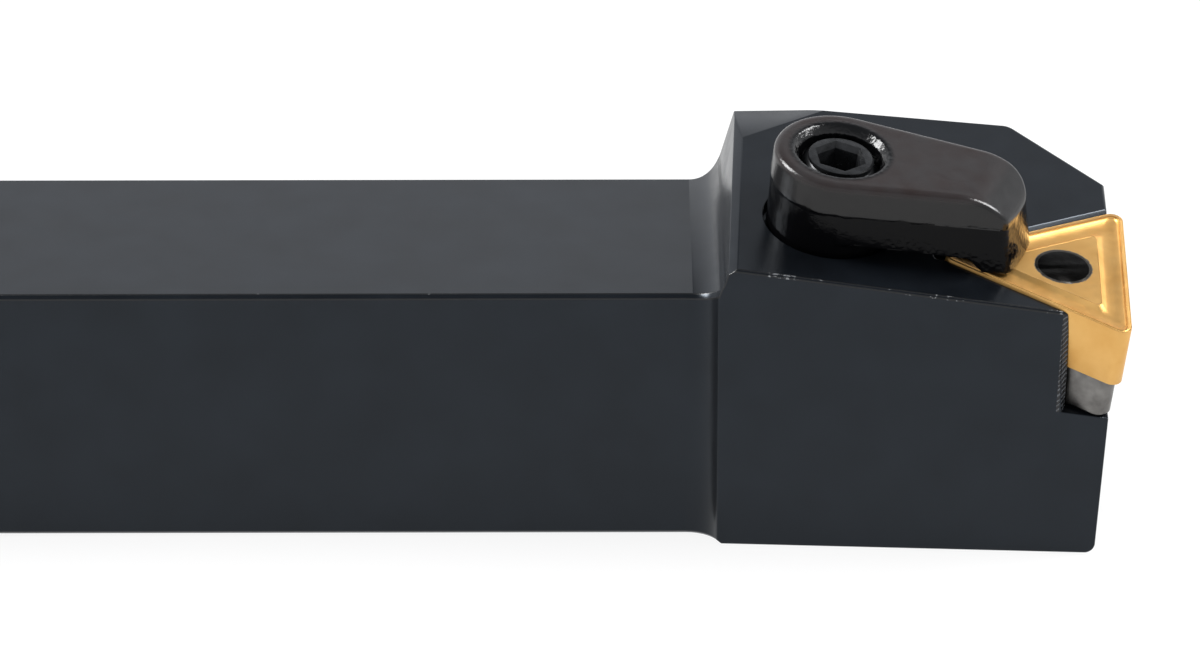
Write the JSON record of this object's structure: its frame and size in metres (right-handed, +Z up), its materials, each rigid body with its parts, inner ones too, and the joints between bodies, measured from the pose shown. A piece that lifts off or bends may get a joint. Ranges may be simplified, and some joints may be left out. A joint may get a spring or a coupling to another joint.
{
  "type": "turning tool holder",
  "caption": "Square-shank external turning tool with an offset head, a top clamp and a lock pin that hold a triangular indexable insert on a carbide shim.",
  "frame": {"origin": "centre of the shank's bottom face, halfway along the straight shank", "axes": "+X along the shank towards the cutting tip, +Y across the shank away from the tip's side, +Z up out of the shank's seat"},
  "size_m": [0.1253, 0.0261, 0.0301],
  "materials": {
    "blackened_steel": "milled alloy steel with a smooth blue-black oxide finish",
    "carbide": "bare ground carbide, dull grey",
    "pin_steel": "black oxide on hardened steel",
    "coated_carbide": "gold nitride coating, satin",
    "forged_steel": "brown-black oiled oxide on a forged skin",
    "screw_steel": "black oxide on a machined screw"
  },
  "bodies": {
    "holder": {"holder_body": "blackened_steel", "shim": "carbide", "insert": "coated_carbide"},
    "clamp_screw": {"clamp_screw": "screw_steel"},
    "clamp": {"clamp": "forged_steel"},
    "lock_pin": {"lock_pin": "pin_steel"}
  },
  "joints": [
    {"name": "screw_turn", "type": "hinge", "parent": "holder", "child": "clamp_screw", "pos_m": [0.05666, -0.00386, 0.02315], "axis": [0.1103, -0.1452, 0.9832], "range_deg": [0, 540]},
    {"name": "clamp_lift", "type": "slide", "parent": "holder", "child": "clamp", "axis": [0.1103, -0.1452, 0.9832], "range_m": [0, 0.003]},
    {"name": "pin_turn", "type": "hinge", "parent": "holder", "child": "lock_pin", "pos_m": [0.07373, -0.00728, 0.02093], "axis": [0.1103, -0.1452, 0.9832], "range_deg": [0, 180]}
  ],
  "couplings": [
    {"joint": "screw_turn", "follows": "clamp_lift", "rad_per_m": 3141.6}
  ]
}
